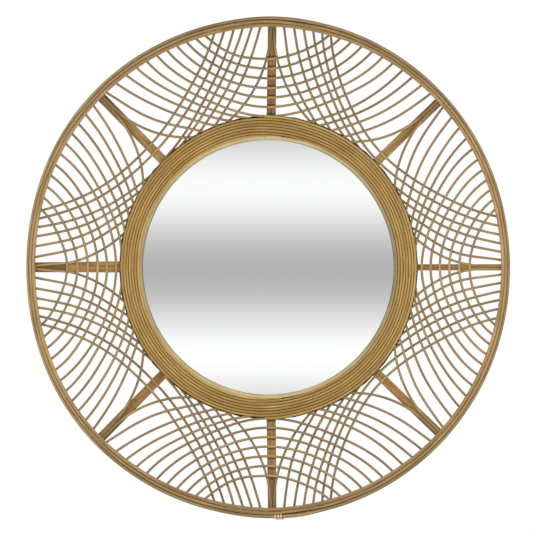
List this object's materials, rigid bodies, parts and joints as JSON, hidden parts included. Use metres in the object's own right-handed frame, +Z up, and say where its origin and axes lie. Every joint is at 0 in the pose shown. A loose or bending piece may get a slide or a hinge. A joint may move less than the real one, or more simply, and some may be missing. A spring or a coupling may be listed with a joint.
{
  "type": "wall mirror",
  "caption": "Round wall mirror in a coiled rattan ring, with an openwork border of arched rattan rods, flat slats and an outer ring of hoops.",
  "frame": {"origin": "centre of the backing board's rear face, where it lies on the wall", "axes": "+Y into the wall, so the mirror faces -Y; +Z up along the longer axis of the slightly oval ring; +X to the right as seen from the front"},
  "size_m": [0.7733, 0.0245, 0.8015],
  "materials": {
    "rattan": "stained and lightly varnished rattan",
    "rattan_light": "pale varnished rattan",
    "cane": "natural pale cane",
    "stained_wood": "dark stain, matt",
    "mirror_glass": "silvered flat glass"
  },
  "bodies": {
    "root": {"backing_board": "stained_wood", "mirror_glass": "mirror_glass", "trim_ring": "rattan_light", "coil_loop_1": "rattan", "coil_loop_2": "rattan", "coil_loop_3": "rattan", "coil_loop_4": "rattan", "coil_loop_5": "rattan", "coil_loop_6": "rattan", "coil_inner_strand": "rattan", "coil_outer_strand": "rattan", "outer_hoop_inner": "rattan", "outer_hoop_middle": "rattan", "spoke_right": "rattan", "spoke_upper_right": "rattan", "spoke_top": "rattan", "spoke_upper_left": "rattan", "spoke_left": "rattan", "spoke_lower_left": "rattan", "spoke_bottom": "rattan", "spoke_lower_right": "rattan", "front_fan_right": "rattan", "front_fan_top": "rattan", "front_fan_left": "rattan", "front_fan_bottom": "rattan", "rear_fan_upper_right": "rattan", "rear_fan_upper_left": "rattan", "rear_fan_lower_left": "rattan", "rear_fan_lower_right": "rattan", "cane_binding": "cane"}
  },
  "joints": []
}
